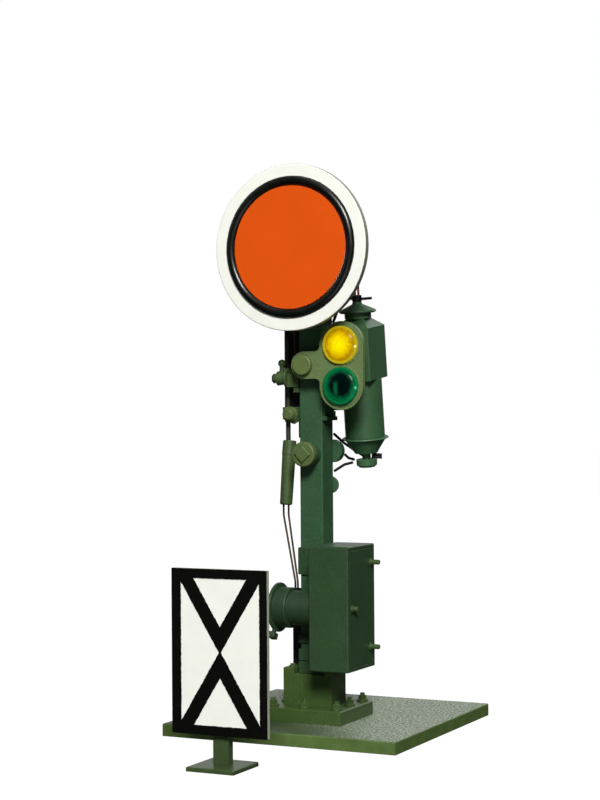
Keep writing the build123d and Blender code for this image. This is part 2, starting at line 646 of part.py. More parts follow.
def mast_clamp(bottom, top, slope):
    """A strap round the mast's front and left side that holds the drive box to it."""
    thick = 0.12
    left = -MAST_FACE - thick
    front = -MAST_FACE - thick
    outline = Polyline((left, top), (BOX_LOW[0], top), (BOX_LOW[0], bottom - slope), (left, bottom),
                       close=True)
    face = facing(0, -MAST_FACE, 0) * extrude(make_face(outline), thick)
    side = block((left, front, bottom), (-MAST_FACE, MAST_FACE - 0.1, top))
    pad = block((MAST_FACE, front, bottom), (BOX_LOW[0], MAST_FACE - 0.1, top))
    strap = face + side + pad
    return fillet(strap.edges().filter_by(Axis.Y).group_by(Axis.Z)[-1].group_by(Axis.X)[0], 0.1)


def mast_clamps():
    """The broad upper strap, the narrow middle one and the two that rest on the socket."""
    return [mast_clamp(10.85, 12.72, 0.14), mast_clamp(6.12, 6.7, 0.08),
            mast_clamp(4.9, 5.72, 0.0), mast_clamp(SOCKET_TOP + 0.02, 4.84, 0.0)]


# ---- drum and drive ---------------------------------------------------------------------
def drum_x(x):
    """A point on the drum's axis."""
    return (x, DRUM_Y, DRUM_Z)


def drum_body():
    """The wire drum: a winding barrel and a narrower neck up to the drive box."""
    barrel = rod(drum_x(DRUM_FACE + 0.28), drum_x(-0.7), DRUM_RADIUS)
    barrel = fillet(barrel.edges().filter_by(GeomType.CIRCLE).sort_by(Axis.X)[-1], 0.1)
    neck = rod(drum_x(-0.7), drum_x(BOX_LOW[0] - 0.05), NECK_RADIUS)
    bore = rod(drum_x(DRUM_FACE), drum_x(2), AXLE_RADIUS + 0.01)
    return barrel + neck - bore


def drum_flange():
    """The drum's flange, with a stepped outer face and a wire clamp on its rim, low in front."""
    plate = rod(drum_x(DRUM_FACE + 0.08), drum_x(DRUM_FACE + 0.28), FLANGE_RADIUS)
    plate = fillet(plate.edges().filter_by(GeomType.CIRCLE), 0.05)
    step = rod(drum_x(DRUM_FACE), drum_x(DRUM_FACE + 0.08), FLANGE_RADIUS - 0.22)
    neck = Pos(0, -(FLANGE_RADIUS + 0.05), 0) * Box(0.3, 0.5, 0.18)
    clamp = Pos(0, -(FLANGE_RADIUS + 0.38), 0) * Box(0.6, 0.4, 0.44)
    lug = sideways(DRUM_FACE + 0.18, DRUM_Y, DRUM_Z) * Rot(Z=-28) * (neck + clamp)
    bore = rod(drum_x(DRUM_FACE - 1), drum_x(2), AXLE_RADIUS + 0.01)
    return plate + step + lug - bore


def drum_axle():
    return rod(drum_x(DRUM_FACE - 0.06), drum_x(AXLE_END), AXLE_RADIUS)


def axle_bush():
    """The bush in the drive box's left wall that the drum's axle turns in."""
    sleeve = rod(drum_x(BOX_LOW[0] + 0.02), drum_x(BOX_LOW[0] + BOX_WALL + 0.1), BUSH_RADIUS)
    return sleeve - rod(drum_x(0), drum_x(3), AXLE_RADIUS + 0.03)


def crank_pin_rise():
    return CRANK_ARM * sin(DRUM_TURN / 2)


def axle_crank():
    """The crank on the axle inside the box, whose pin stands in the plunger's slot."""
    rise = crank_pin_rise()
    y = DRUM_Y + CRANK_ARM * cos(DRUM_TURN / 2)
    z = DRUM_Z + rise
    low, high = 1.66, 1.92
    hub = rod(drum_x(low), drum_x(high), 0.5)
    tip = rod((low, y, z), (high, y, z), 0.25)
    centre = Plane(origin=drum_x(low), x_dir=(0, y - DRUM_Y, rise), z_dir=(1, 0, 0))
    arm = centre * Pos(CRANK_ARM / 2, 0, (high - low) / 2) * Box(CRANK_ARM, 0.4, high - low)
    pin = rod((high, y, z), (2.9, y, z), 0.1)
    return hub + arm + tip + pin - rod(drum_x(0), drum_x(3), AXLE_RADIUS + 0.01)


def coil_y():
    """The solenoid stands where the crank pin's arc is centred."""
    return DRUM_Y + CRANK_ARM * (1 + cos(DRUM_TURN / 2)) / 2


def coil_bobbin():
    place = Pos(COIL_X, coil_y(), COIL_LOW)
    height = COIL_HIGH - COIL_LOW
    flange = ring(COIL_RADIUS, PLUNGER_RADIUS + 0.05, 0.16)
    core = ring(PLUNGER_RADIUS + 0.15, PLUNGER_RADIUS + 0.05, height)
    return place * (core + flange + Pos(0, 0, height - 0.16) * flange)


def coil_winding():
    place = Pos(COIL_X, coil_y(), COIL_LOW + 0.17)
    return place * ring(COIL_RADIUS - 0.1, PLUNGER_RADIUS + 0.16, COIL_HIGH - COIL_LOW - 0.34)


def plunger():
    """The solenoid's plunger, with a slotted head for the crank pin."""
    z = DRUM_Z + crank_pin_rise()
    near = DRUM_Y + CRANK_ARM * cos(DRUM_TURN / 2)
    far = DRUM_Y + CRANK_ARM
    gap = 0.1 + SLOT_PLAY
    head = block((COIL_X - 0.4, near - gap - 0.2, z - gap - 0.2),
                 (COIL_X + 0.3, far + gap + 0.15, z + gap + 0.2))
    head -= block((0, near - gap, z - gap), (9, far + gap, z + gap))
    stem = Pos(COIL_X, coil_y(), 6.6) * Cylinder(PLUNGER_RADIUS, z - gap - 0.1 - 6.6, align=BASE)
    return head + stem


# ---- lantern ----------------------------------------------------------------------------
def lantern_body():
    """The lamp house: a hollow box with a hipped roof and a round window in front."""
    house = block((-LAMP_HALF_X, -LAMP_HALF_Y, LAMP_BOTTOM), (LAMP_HALF_X, LAMP_HALF_Y, LAMP_TOP))
    house = fillet(house.edges().filter_by(Axis.Z), 0.08)
    eaves = Plane.XY.offset(LAMP_TOP) * Rectangle(2 * LAMP_HALF_X, 2 * LAMP_HALF_Y)
    crown = Plane.XY.offset(ROOF_TOP) * Rectangle(1.3, 1.3)
    roof = loft([eaves.face(), crown.face()])
    hollow = block((-LAMP_HALF_X + LAMP_WALL, -LAMP_HALF_Y + LAMP_WALL, LAMP_BOTTOM + LAMP_WALL),
                   (LAMP_HALF_X - LAMP_WALL, LAMP_HALF_Y - LAMP_WALL, LAMP_TOP))
    window = rod((0, -LAMP_HALF_Y, 0), (0, -LAMP_HALF_Y + 0.5, 0), WINDOW_RADIUS)
    return LANTERN * (house + roof - hollow - window)


def lantern_glass():
    start, end = (0, -LAMP_HALF_Y + 0.04, 0), (0, -LAMP_HALF_Y + 0.16, 0)
    return LANTERN * rod(start, end, WINDOW_RADIUS - 0.01)


def lantern_led():
    """The light-emitting diode inside the lamp house, with its two legs down to the floor."""
    dome = Sphere(0.55) + Pos(0, 0, 0) * rod((0, 0, 0), (0, 0.6, 0), 0.55)
    legs = [block((x - 0.06, 0.3, LAMP_BOTTOM + LAMP_WALL), (x + 0.06, 0.42, 0)) for x in (-0.25, 0.25)]
    return LANTERN * (dome + legs[0] + legs[1])


def lantern_cap():
    """The chimney and the conical cap over it."""
    return LANTERN * turned(
        (0, ROOF_TOP), (CHIMNEY_RADIUS, ROOF_TOP), (CHIMNEY_RADIUS, CHIMNEY_TOP),
        (CAP_RADIUS - 0.1, CHIMNEY_TOP), (CAP_RADIUS, CHIMNEY_TOP + 0.1),
        (CAP_RADIUS - 0.06, CHIMNEY_TOP + 0.2), (0.36, CHIMNEY_TOP + 0.62),
        (0.3, CHIMNEY_TOP + 0.8), (0, CHIMNEY_TOP + 0.8))


def lead_collar():
    """The black sleeve that the lamp's leads leave the cap through."""
    return LANTERN * Pos(0, 0, CHIMNEY_TOP + 0.8) * ring(0.34, 0.27, 0.42)


def led_leads():
    """The two copper leads above the cap."""
    bottom, top = CHIMNEY_TOP + 0.81, CHIMNEY_TOP + 1.9
    leads = [rod((x, 0, bottom), (x, 0.05, top), 0.08) for x in (-0.13, 0.13)]
    return [LANTERN * lead for lead in leads]


def lantern_tank():
    tank = Pos(0, 0, TANK_BOTTOM) * Cylinder(TANK_RADIUS, LAMP_BOTTOM - TANK_BOTTOM, align=BASE)
    return LANTERN * tank


def tank_cone():
    """The tank's flared rim and its cone, with a small round foot on a stem below."""
    return LANTERN * turned(
        (0, TANK_BOTTOM), (TANK_RADIUS + 0.22, TANK_BOTTOM), (TANK_RADIUS + 0.26, TANK_BOTTOM - 0.08),
        (TANK_RADIUS, TANK_BOTTOM - 0.2), (0.8, CONE_BOTTOM),
        (0.3, CONE_BOTTOM), (0.3, CONE_BOTTOM - 0.4), (0.74, CONE_BOTTOM - 0.46),
        (0.72, CONE_BOTTOM - 0.86), (0.55, CONE_BOTTOM - 1.0), (0, CONE_BOTTOM - 1.0))


def lantern_bracket():
    """The ledge, with its small upright pin, and the arm that hold the lantern to the mast."""
    pad = block((MAST_FACE, -0.7, 21.6), (MAST_FACE + 0.14, 0.8, 23.3))
    ledge = block((MAST_FACE, -MAST_FACE, 21.5), (MAST_FACE + 0.34, MAST_FACE, 21.78))
    arm = block((MAST_FACE, 1.0, 22.2), (1.75, 1.25, 23.0))
    root = block((MAST_FACE, 0.6, 22.2), (MAST_FACE + 0.3, 1.25, 23.0))
    tank = LANTERN * Pos(0, 0, -9) * Cylinder(TANK_RADIUS + 0.01, 9, align=BASE)
    pin_x, pin_y = MAST_FACE + 0.2, 0.6
    pin = rod((pin_x, pin_y, 21.7), (pin_x, pin_y, 22.15), 0.13)
    return pad + ledge + arm + root + pin - tank


# ---- lamp wiring ------------------------------------------------------------------------
def feed_wires():
    """Thin black wires from the mast to the lantern's foot and collar, and their trimmed ends."""
    radius = 0.095
    behind = wire([(0.9, 1.0, 20.54), (0.95, 2.5, 19.9), (1.3, 3.4, 19.4), (2.1, 3.9, 18.8),
                   (2.5, 3.45, 18.6)], radius, 0.3)
    middle = wire([(1.56, 1.35, 19.1), (1.68, 1.7, 18.85), (1.86, 2.2, 18.74)], radius, 0.3)
    lower = wire([(0.92, 0.95, 17.96), (1.4, 1.6, 18.4), (1.8, 2.1, 18.53)], radius, 0.3)
    top = wire([(2.33, 1.0, 29.97), (1.9, 0.95, 29.92), (1.3, 0.9, 29.2), (0.95, 0.8, 28.3)], 0.1, 0.3)
    foot_ends = [rod((3.05, 2.6, z), (3.75, 2.75, z - 0.06), radius) for z in (18.93, 19.12)]
    cap_end = rod((3.05, 1.05, 29.92), (3.8, 1.05, 29.95), radius)
    return [behind, middle, lower, top, *foot_ends, cap_end]


# ---- marker board -----------------------------------------------------------------------
def board_panel():
    return block((BOARD_X - BOARD_WIDTH / 2, BOARD_FRONT, BOARD_LOW),
                 (BOARD_X + BOARD_WIDTH / 2, BOARD_FRONT + BOARD_THICK, BOARD_HIGH))


def board_print():
    """The raised black frame and its two Vs that meet at the board's centre."""
    half_w = BOARD_WIDTH / 2
    half_h = (BOARD_HIGH - BOARD_LOW) / 2
    inner_w, inner_h = half_w - FRAME_WIDTH, half_h - FRAME_WIDTH
    side_corner = half_h - 0.78
    end_corner = half_w - 1.47
    apex = 1.55
    sheet = Rectangle(2 * half_w, 2 * half_h)
    for sign in (-1, 1):
        end = Polyline((-end_corner, sign * inner_h), (end_corner, sign * inner_h),
                       (0, sign * apex), close=True)
        side = Polyline((sign * inner_w, -side_corner), (sign * inner_w, side_corner),
                        (sign * 0.06, 0), close=True)
        sheet -= make_face(end)
        sheet -= make_face(side)
    middle = (BOARD_LOW + BOARD_HIGH) / 2
    return facing(BOARD_X, BOARD_FRONT, middle) * extrude(sheet, PRINT_THICK)


def board_post():
    back = BOARD_FRONT + BOARD_THICK
    post = block((BOARD_X - 0.1 - POST_WIDTH / 2, back, FOOT_THICK),
                 (BOARD_X - 0.1 + POST_WIDTH / 2, back + POST_DEPTH, BOARD_HIGH - 2.2))
    return chamfer(post.edges().group_by(Axis.Z)[-1], 0.1)


def board_foot():
    foot = block((BOARD_X - 1.78, BOARD_FRONT - 1.1, 0), (BOARD_X + 1.54, BOARD_FRONT + 2.2, FOOT_THICK))
    return chamfer(foot.edges().group_by(Axis.Z)[-1], 0.05)


# ---- export -----------------------------------------------------------------------------
NODES = {
    "base_plate": base_plate,
    "foot_flange": foot_flange,
    "foot_bolts": foot_bolts,
    "foot_socket": foot_socket,
    "socket_screw": socket_screw,
    "mast": mast,
    "mast_cap": mast_cap,
    "mid_boss": mid_boss,
    "square_bolt": square_bolt,
    "rear_boss": rear_boss,
    "rear_stud": rear_stud,
    "disc_bracket": disc_bracket,
    "hinge_pin": hinge_pin,
    "disc_plate": disc_plate,
    "disc_ring": disc_ring,
    "disc_face": disc_face,
    "disc_carrier": disc_carrier,
    "spectacle_plate": spectacle_plate,
    "spectacle_boss": spectacle_boss,
    "yellow_lens": lambda: lens(YELLOW_UP),
    "green_lens": lambda: lens(GREEN_UP),
    "spectacle_pivot": spectacle_pivot,
    "spectacle_link": spectacle_link,
    "push_rod": push_rod,
    "rod_hook": rod_hook,
    "rod_sleeve": rod_sleeve,
    "pull_wires": pull_wires,
    "pivot_bracket": pivot_bracket,
    "bearing_housing": bearing_housing,
    "cross_shaft": cross_shaft,
    "crank_lever": crank_lever,
    "guide_strip": guide_strip,
    "guide_bracket": guide_bracket,
    "guide_bolt": guide_bolt,
    "box_shell": box_shell,
    "box_cover": box_cover,
    "cover_pins": cover_pins,
    "mast_clamps": mast_clamps,
    "drum_body": drum_body,
    "drum_flange": drum_flange,
    "drum_axle": drum_axle,
    "axle_crank": axle_crank,
    "axle_bush": axle_bush,
    "coil_bobbin": coil_bobbin,
    "coil_winding": coil_winding,
    "plunger": plunger,
    "lantern_body": lantern_body,
    "lantern_glass": lantern_glass,
    "lantern_led": lantern_led,
    "lantern_cap": lantern_cap,
    "lead_collar": lead_collar,
    "led_leads": led_leads,
    "lantern_tank": lantern_tank,
    "tank_cone": tank_cone,
    "lantern_bracket": lantern_bracket,
    "feed_wires": feed_wires,
    "board_panel": board_panel,
    "board_print": board_print,
    "board_post": board_post,
    "board_foot": board_foot,
}


def main():
    os.makedirs("parts", exist_ok=True)
    for name, make in NODES.items():
        shape = make()
        if isinstance(shape, list):
            shape = Compound(children=shape)
        export_step(shape, f"parts/{name}.step")


main()
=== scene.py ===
from math import cos, pi, radians, sin, tau
from random import Random

import bmesh
import bpy
from mathutils import Matrix, Vector


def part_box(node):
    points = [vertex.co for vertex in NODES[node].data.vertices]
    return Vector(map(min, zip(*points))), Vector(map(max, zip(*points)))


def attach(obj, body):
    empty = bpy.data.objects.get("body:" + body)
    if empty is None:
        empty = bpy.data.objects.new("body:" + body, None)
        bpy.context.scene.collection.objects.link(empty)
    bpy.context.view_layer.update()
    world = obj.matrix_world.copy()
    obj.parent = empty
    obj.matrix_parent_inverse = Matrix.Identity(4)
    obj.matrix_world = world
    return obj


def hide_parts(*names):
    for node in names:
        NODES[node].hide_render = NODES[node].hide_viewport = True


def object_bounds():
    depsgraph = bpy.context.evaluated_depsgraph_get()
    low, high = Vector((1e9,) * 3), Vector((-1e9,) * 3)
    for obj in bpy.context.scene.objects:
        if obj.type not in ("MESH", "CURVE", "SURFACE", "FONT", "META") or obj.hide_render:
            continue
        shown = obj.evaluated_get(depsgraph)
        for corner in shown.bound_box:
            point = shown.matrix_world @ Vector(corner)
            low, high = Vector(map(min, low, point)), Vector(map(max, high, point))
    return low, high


# The looks of a model disc distant signal and its marker board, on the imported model's frame.
# Metres. Z is up, the signal faces -Y, and the mast's axis is at the origin.

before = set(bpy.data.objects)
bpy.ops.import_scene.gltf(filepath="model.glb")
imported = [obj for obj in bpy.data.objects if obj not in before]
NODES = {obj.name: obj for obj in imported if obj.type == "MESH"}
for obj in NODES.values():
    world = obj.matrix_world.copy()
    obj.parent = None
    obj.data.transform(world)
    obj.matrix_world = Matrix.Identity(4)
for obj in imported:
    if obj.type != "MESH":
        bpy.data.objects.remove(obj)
CAD_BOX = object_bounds()
MM = 0.001
FORWARD = Vector((0, -1, 0))


# ---- camera, light and floor ------------------------------------------------------------
CAMERA_AZIMUTH = radians(26.3)
CAMERA_ELEVATION = radians(-0.518)
CAMERA_ROLL = radians(-0.392)
CAMERA_DISTANCE = 125.35 * MM
AIM_RIGHT = -1.125 * MM                 # the aim point, beside the mast's axis in the view
AIM_HEIGHT = 22.93 * MM
LENS_LENGTH = 81


def make_camera():
    back = Vector((
        sin(CAMERA_AZIMUTH) * cos(CAMERA_ELEVATION),
        -cos(CAMERA_AZIMUTH) * cos(CAMERA_ELEVATION),
        sin(CAMERA_ELEVATION),
    ))
    right = Vector((cos(CAMERA_AZIMUTH), sin(CAMERA_AZIMUTH), 0))
    up = back.cross(right)
    aim = right * AIM_RIGHT + Vector((0, 0, AIM_HEIGHT))
    turn = Matrix.Rotation(CAMERA_ROLL, 4, "Z")
    camera = bpy.data.objects.new("camera", bpy.data.cameras.new("camera"))
    camera.data.lens = LENS_LENGTH
    camera.data.clip_start = 0.01
    camera.data.clip_end = 10
    camera.matrix_world = Matrix.Translation(aim + back * CAMERA_DISTANCE) @ (
        Matrix((right, up, back)).transposed().to_4x4() @ turn
    )
    bpy.context.scene.collection.objects.link(camera)
    bpy.context.scene.camera = camera


def softbox(name, azimuth, elevation, distance, size, power, colour=(1, 1, 1)):
    """A square soft light that aims at the middle of the signal."""
    aim = Vector((0, 0, CAD_BOX[1].z / 2))
    a, e = radians(azimuth), radians(elevation)
    away = Vector((sin(a) * cos(e), -cos(a) * cos(e), sin(e)))
    light = bpy.data.objects.new(name, bpy.data.lights.new(name, "AREA"))
    light.data.size = size
    light.data.energy = power
    light.data.color = colour
    light.location = aim + away * distance
    light.rotation_mode = "QUATERNION"
    light.rotation_quaternion = away.to_track_quat("Z", "Y")
    bpy.context.scene.collection.objects.link(light)


def make_lights():
    softbox("key", 29, 34, 0.35, 0.09, 1.60, (1.0, 0.99, 0.965))
    softbox("left_fill", -55, 25, 0.28, 0.16, 0.04)
    softbox("top", 10, 84, 0.24, 0.16, 0.06)
    softbox("rear", 165, 35, 0.30, 0.20, 0.25)
    softbox("backdrop", 206, 10, 0.35, 0.35, 0.26)
    softbox("floor_bounce", 30, -25, 0.30, 0.20, 0.13)


def make_world():
    world = bpy.data.worlds.new("world")
    world.use_nodes = True
    background = world.node_tree.nodes["Background"]
    background.inputs["Color"].default_value = (0.95, 0.97, 0.92, 1)
    background.inputs["Strength"].default_value = 0.014
    bpy.context.scene.world = world


def seen_only(piece):
    """The camera sees this stage piece, but it neither lights nor shades the model."""
    piece.visible_diffuse = False
    piece.visible_glossy = False
    piece.visible_transmission = False
    piece.visible_shadow = False


def make_stage():
    """A plain white floor and a plain white surround."""
    reach = 0.9
    mesh = bpy.data.meshes.new("floor")
    mesh.from_pydata([(-reach, -reach, 0), (reach, -reach, 0), (reach, reach, 0), (-reach, reach, 0)],
                     [], [(0, 1, 2, 3)])
    floor = bpy.data.objects.new("floor", mesh)
    look = Look("floor_white")
    look.set(base_color=(0.05, 0.05, 0.05, 1), roughness=0.9, specular_ior_level=0.0,
             emission_color=(1, 1, 1, 1), emission_strength=1.0)
    mesh.materials.append(look.material)
    bpy.context.scene.collection.objects.link(floor)
    seen_only(floor)

    shell = bmesh.new()
    bmesh.ops.create_uvsphere(shell, u_segments=48, v_segments=24, radius=reach * 1.05)
    mesh = bpy.data.meshes.new("surround")
    shell.to_mesh(mesh)
    shell.free()
    surround = bpy.data.objects.new("surround", mesh)
    look = Look("surround_white")
    look.set(base_color=(0, 0, 0, 1), specular_ior_level=0,
             emission_color=(1, 1, 1, 1), emission_strength=1.0)
    mesh.materials.append(look.material)
    bpy.context.scene.collection.objects.link(surround)
    seen_only(surround)


# ---- shader building --------------------------------------------------------------------
def srgb(red, green, blue):
    """A linear colour from 0-255 display values."""
    def linear(value):
        share = value / 255
        return share / 12.92 if share <= 0.04045 else ((share + 0.055) / 1.055) ** 2.4
    return (linear(red), linear(green), linear(blue), 1)


def scaled(colour, factor):
    return tuple(channel * factor for channel in colour[:3]) + (1,)


class Look:
    """A material being built around its Principled shader."""

    def __init__(self, name):
        self.material = bpy.data.materials.new(name)
        self.material.use_nodes = True
        self.tree = self.material.node_tree
        self.shader = self.tree.nodes["Principled BSDF"]
        self.place = self.add("ShaderNodeTexCoord").outputs["Object"]

    def socket(self, node, name):
        wanted = name.replace("_", " ").lower()
        return next(s for s in node.inputs if s.name.lower() == wanted and s.enabled)

    def give(self, socket, value):
        """Links the socket to another one, or sets it to a plain value."""
        if isinstance(value, bpy.types.NodeSocket):
            self.tree.links.new(value, socket)
        else:
            socket.default_value = value

    def feed(self, node, inputs):
        for name, value in inputs.items():
            self.give(self.socket(node, name), value)

    def add(self, kind, settings=None, **inputs):
        node = self.tree.nodes.new(kind)
        for name, value in (settings or {}).items():
            setattr(node, name, value)
        self.feed(node, inputs)
        return node

    def set(self, **inputs):
        self.feed(self.shader, inputs)

    def noise(self, size, detail=2.0, rough=0.5, place=None):
        """Soft blotches of that size, in millimetres."""
        node = self.add("ShaderNodeTexNoise", vector=place or self.place, scale=1 / (size * MM),
                        detail=detail, roughness=rough)
        return node.outputs["Fac"]

    def ramp(self, factor, *stops):
        """A colour ramp through (position, colour) stops."""
        node = self.add("ShaderNodeValToRGB", fac=factor)
        line = node.color_ramp
        while len(line.elements) < len(stops):
            line.elements.new(1)
        for element, (position, colour) in zip(line.elements, stops):
            element.position = position
            element.color = colour
        return node.outputs["Color"]

    def mask(self, value, low, high):
        """0 below low, 1 above high, and smooth between."""
        node = self.add("ShaderNodeMapRange", {"interpolation_type": "SMOOTHSTEP"},
                        value=value, from_min=low, from_max=high)
        return node.outputs["Result"]

    def vector_math(self, kind, first, second=None):
        node = self.add("ShaderNodeVectorMath", {"operation": kind})
        self.give(node.inputs[0], first)
        if second is not None:
            self.give(node.inputs[1], second)
        return node.outputs

    def math(self, kind, first, second=0.0):
        node = self.add("ShaderNodeMath", {"operation": kind})
        for socket, value in zip(node.inputs, (first, second)):
            self.give(socket, value)
        return node.outputs["Value"]

    def mix(self, share, first, second, kind="MIX"):
        node = self.add("ShaderNodeMix", {"data_type": "RGBA", "blend_type": kind})
        for name, value in (("Factor", share), ("A", first), ("B", second)):
            self.give(next(s for s in node.inputs if s.name == name and s.enabled), value)
        return next(s for s in node.outputs if s.enabled)

    def edges(self, radius):
        """1 on the model's edges, 0 on its open surfaces."""
        round_normal = self.add("ShaderNodeBevel", {"samples": 4}, radius=radius * MM).outputs["Normal"]
        flat_normal = self.add("ShaderNodeNewGeometry").outputs["Normal"]
        match = self.vector_math("DOT_PRODUCT", round_normal, flat_normal)["Value"]
        return self.math("SUBTRACT", 1.0, self.mask(match, 0.72, 0.99))

    def rough_surface(self, height, strength, depth, radius=0.05):
        """Grain of that depth in millimetres over softly rounded edges."""
        rounded = self.add("ShaderNodeBevel", {"samples": 4}, radius=radius * MM).outputs["Normal"]
        bump = self.add("ShaderNodeBump", height=height, strength=strength, distance=depth * MM,
                        normal=rounded)
        self.set(normal=bump.outputs["Normal"])

    def facing(self, axis, low, high):
        """1 where the model's own surface faces along that axis, 0 where it doesn't."""
        normal = self.add("ShaderNodeTexCoord").outputs["Normal"]
        return self.mask(self.vector_math("DOT_PRODUCT", normal, axis)["Value"], low, high)

    def share_of(self, centre, radius):
        """The place as seen from a lens's centre, in lens radii."""
        offset = self.vector_math("SUBTRACT", self.place, centre)["Vector"]
        return self.vector_math("MULTIPLY", offset, (1 / radius, 0, 1 / radius))["Vector"]

    def length(self, vector):
        return self.vector_math("LENGTH", vector)["Value"]

    def upward(self):
        """The upward part of the surface's own direction, -1 to 1."""
        normal = self.add("ShaderNodeNewGeometry").outputs["Normal"]
        return self.add("ShaderNodeSeparateXYZ", vector=normal).outputs["Z"]


# ---- materials --------------------------------------------------------------------------
def paint(name, colour, roughness=0.48, blotch=0.22, speck=0.25, wear_and_highlight=0.35, grain=0.012):
    """Sprayed paint on a small casting: blotches, fine pale specks, and pale edges that are partly wear and
    partly painted edge highlight.
    """
    look = Look(name)
    broad = look.noise(1.6, detail=4, rough=0.6)
    fine = look.noise(0.13, detail=3, rough=0.65)
    body = look.ramp(broad, (0.3, scaled(colour, 1 - blotch)), (0.7, scaled(colour, 1 + blotch)))
    mottled = look.mix(0.5, body, look.ramp(fine, (0.35, scaled(colour, 0.72)), (0.68, scaled(colour, 1.3))))
    specks = look.mask(look.noise(0.16, detail=2, rough=0.7), 0.66, 0.76)
    pale = scaled(colour, 2.2)
    specked = look.mix(look.math("MULTIPLY", specks, speck), mottled, pale)
    # Pale edges: partly wear, partly painted edge highlight.
    worn_and_lit_edges = look.math("MULTIPLY", look.edges(0.06), look.mask(look.noise(0.5, detail=3), 0.3, 0.7))
    finished = look.mix(look.math("MULTIPLY", worn_and_lit_edges, wear_and_highlight), specked, pale)
    gloss = look.math("ADD", roughness - 0.08, look.math("MULTIPLY", fine, 0.16))
    look.set(base_color=finished, roughness=gloss, specular_ior_level=0.35)
    look.rough_surface(look.noise(0.09, detail=3, rough=0.6), 0.55, grain)
    return look.material


def base_plate_paint():
    """The plate's paint: smooth green edges, and a grained top with a painted sheen growing towards the back
    right and painted shade, darker green, near its front.
    """
    look = Look("base_plate_paint")
    side = srgb(80, 103, 51)
    side_tone = look.ramp(look.noise(1.2, detail=4), (0.3, scaled(side, 0.85)), (0.7, scaled(side, 1.15)))
    broad = look.noise(2.5, detail=3)
    grain = look.noise(0.17, detail=4, rough=0.85)
    smooth_tone = look.ramp(grain, (0.38, srgb(48, 66, 40)), (0.62, srgb(80, 98, 66)))
    grain_and_sheen_tone = look.ramp(grain, (0.41, srgb(46, 64, 44)), (0.5, srgb(96, 112, 88)),
                          (0.58, srgb(196, 205, 188)))
    # Painted sheen and shade: by place on the plate, the top's grain turns pale towards the back right and
    # stays darker green at the front.
    place = look.add("ShaderNodeSeparateXYZ", vector=look.place).outputs
    diagonal = look.math("ADD", place["X"], place["Y"])
    uneven = look.math("ADD", diagonal, look.math("MULTIPLY", broad, 4 * MM))
    sheen_towards_back = look.mask(uneven, -3.0 * MM, 4.5 * MM)
    top_tone = look.mix(sheen_towards_back, smooth_tone, grain_and_sheen_tone)
    # Pale edges: partly wear, partly painted edge highlight.
    worn_and_lit_edges = look.math("MULTIPLY", look.edges(0.09), look.mask(look.noise(0.6, detail=3), 0.35, 0.6))
    tone = look.mix(look.mask(look.upward(), 0.6, 0.9), side_tone, top_tone)
    look.set(base_color=look.mix(look.math("MULTIPLY", worn_and_lit_edges, 0.35), tone, srgb(150, 172, 120)),
             roughness=look.math("ADD", 0.4, look.math("MULTIPLY", grain, 0.25)),
             specular_ior_level=0.4)
    look.rough_surface(grain, 0.8, 0.02, 0.08)
    return look.material


def white_front(name, colour, side, roughness=0.5):
    """A white face with a faint warm tone and fine grain, on a piece whose other sides are green-grey."""
    look = Look(name)
    tone = look.ramp(look.noise(1.4, detail=4), (0.3, scaled(colour, 0.95)), (0.7, scaled(colour, 1.03)))
    grain = look.noise(0.12, detail=3, rough=0.7)
    front = look.mix(0.35, tone, look.ramp(grain, (0.3, scaled(colour, 0.9)), (0.7, colour)))
    rest = look.ramp(grain, (0.3, scaled(side, 0.8)), (0.7, scaled(side, 1.2)))
    look.set(base_color=look.mix(look.facing(FORWARD, 0.5, 0.8), rest, front),
             roughness=look.math("ADD", roughness - 0.05, look.math("MULTIPLY", grain, 0.1)),
             specular_ior_level=0.35)
    look.rough_surface(grain, 0.35, 0.008, 0.07)
    return look.material


def orange_paint():
    look = Look("orange_paint")
    colour = srgb(210, 78, 8)
    tone = look.ramp(look.noise(2.2, detail=3), (0.3, scaled(colour, 0.97)), (0.7, scaled(colour, 1.03)))
    grain = look.noise(0.1, detail=2)
    look.set(base_color=tone, roughness=look.math("ADD", 0.5, look.math("MULTIPLY", grain, 0.1)),
             specular_ior_level=0.12)
    look.rough_surface(grain, 0.25, 0.005)
    return look.material


def black_enamel():
    """The ring's thick glossy black paint, a little uneven."""
    look = Look("black_enamel")
    wave = look.noise(0.7, detail=2)
    look.set(base_color=look.ramp(wave, (0.3, srgb(2, 5, 3)), (0.7, srgb(8, 13, 9))),
             roughness=look.math("ADD", 0.26, look.math("MULTIPLY", wave, 0.12)),
             specular_ior_level=0.4, coat_weight=0.15, coat_roughness=0.2)
    look.rough_surface(look.noise(0.35, detail=3), 0.5, 0.02)
    return look.material


def dark_matt(name, colour, roughness=0.7):
    look = Look(name)
    grain = look.noise(0.12, detail=3, rough=0.7)
    look.set(base_color=look.ramp(grain, (0.35, scaled(colour, 0.7)), (0.7, scaled(colour, 1.5))),
             roughness=look.math("ADD", roughness - 0.05, look.math("MULTIPLY", grain, 0.1)),
             specular_ior_level=0.3)
    look.rough_surface(grain, 0.5, 0.012)
    return look.material


def metal(name, colour, roughness=0.3):
    """Drawn or turned metal with fine streaks and dull patches."""
    look = Look(name)
    dull = look.noise(0.5, detail=4, rough=0.6)
    streak = look.noise(0.05, detail=2)
    look.set(base_color=look.ramp(dull, (0.3, scaled(colour, 0.7)), (0.7, scaled(colour, 1.1))),
             metallic=1.0,
             roughness=look.math("ADD", roughness, look.math("MULTIPLY", dull, 0.2)))
    look.rough_surface(streak, 0.3, 0.005, 0.03)
    return look.material


def rim_spot(look, centre, radius):
    """A painted bright spot at a lens's right rim, for the glint on its edge."""
    spot = centre + Vector((0.9, 0, -0.1)) * radius
    return look.math("SUBTRACT", 1.0, look.mask(look.length(look.share_of(spot, radius)), 0.03, 0.11))


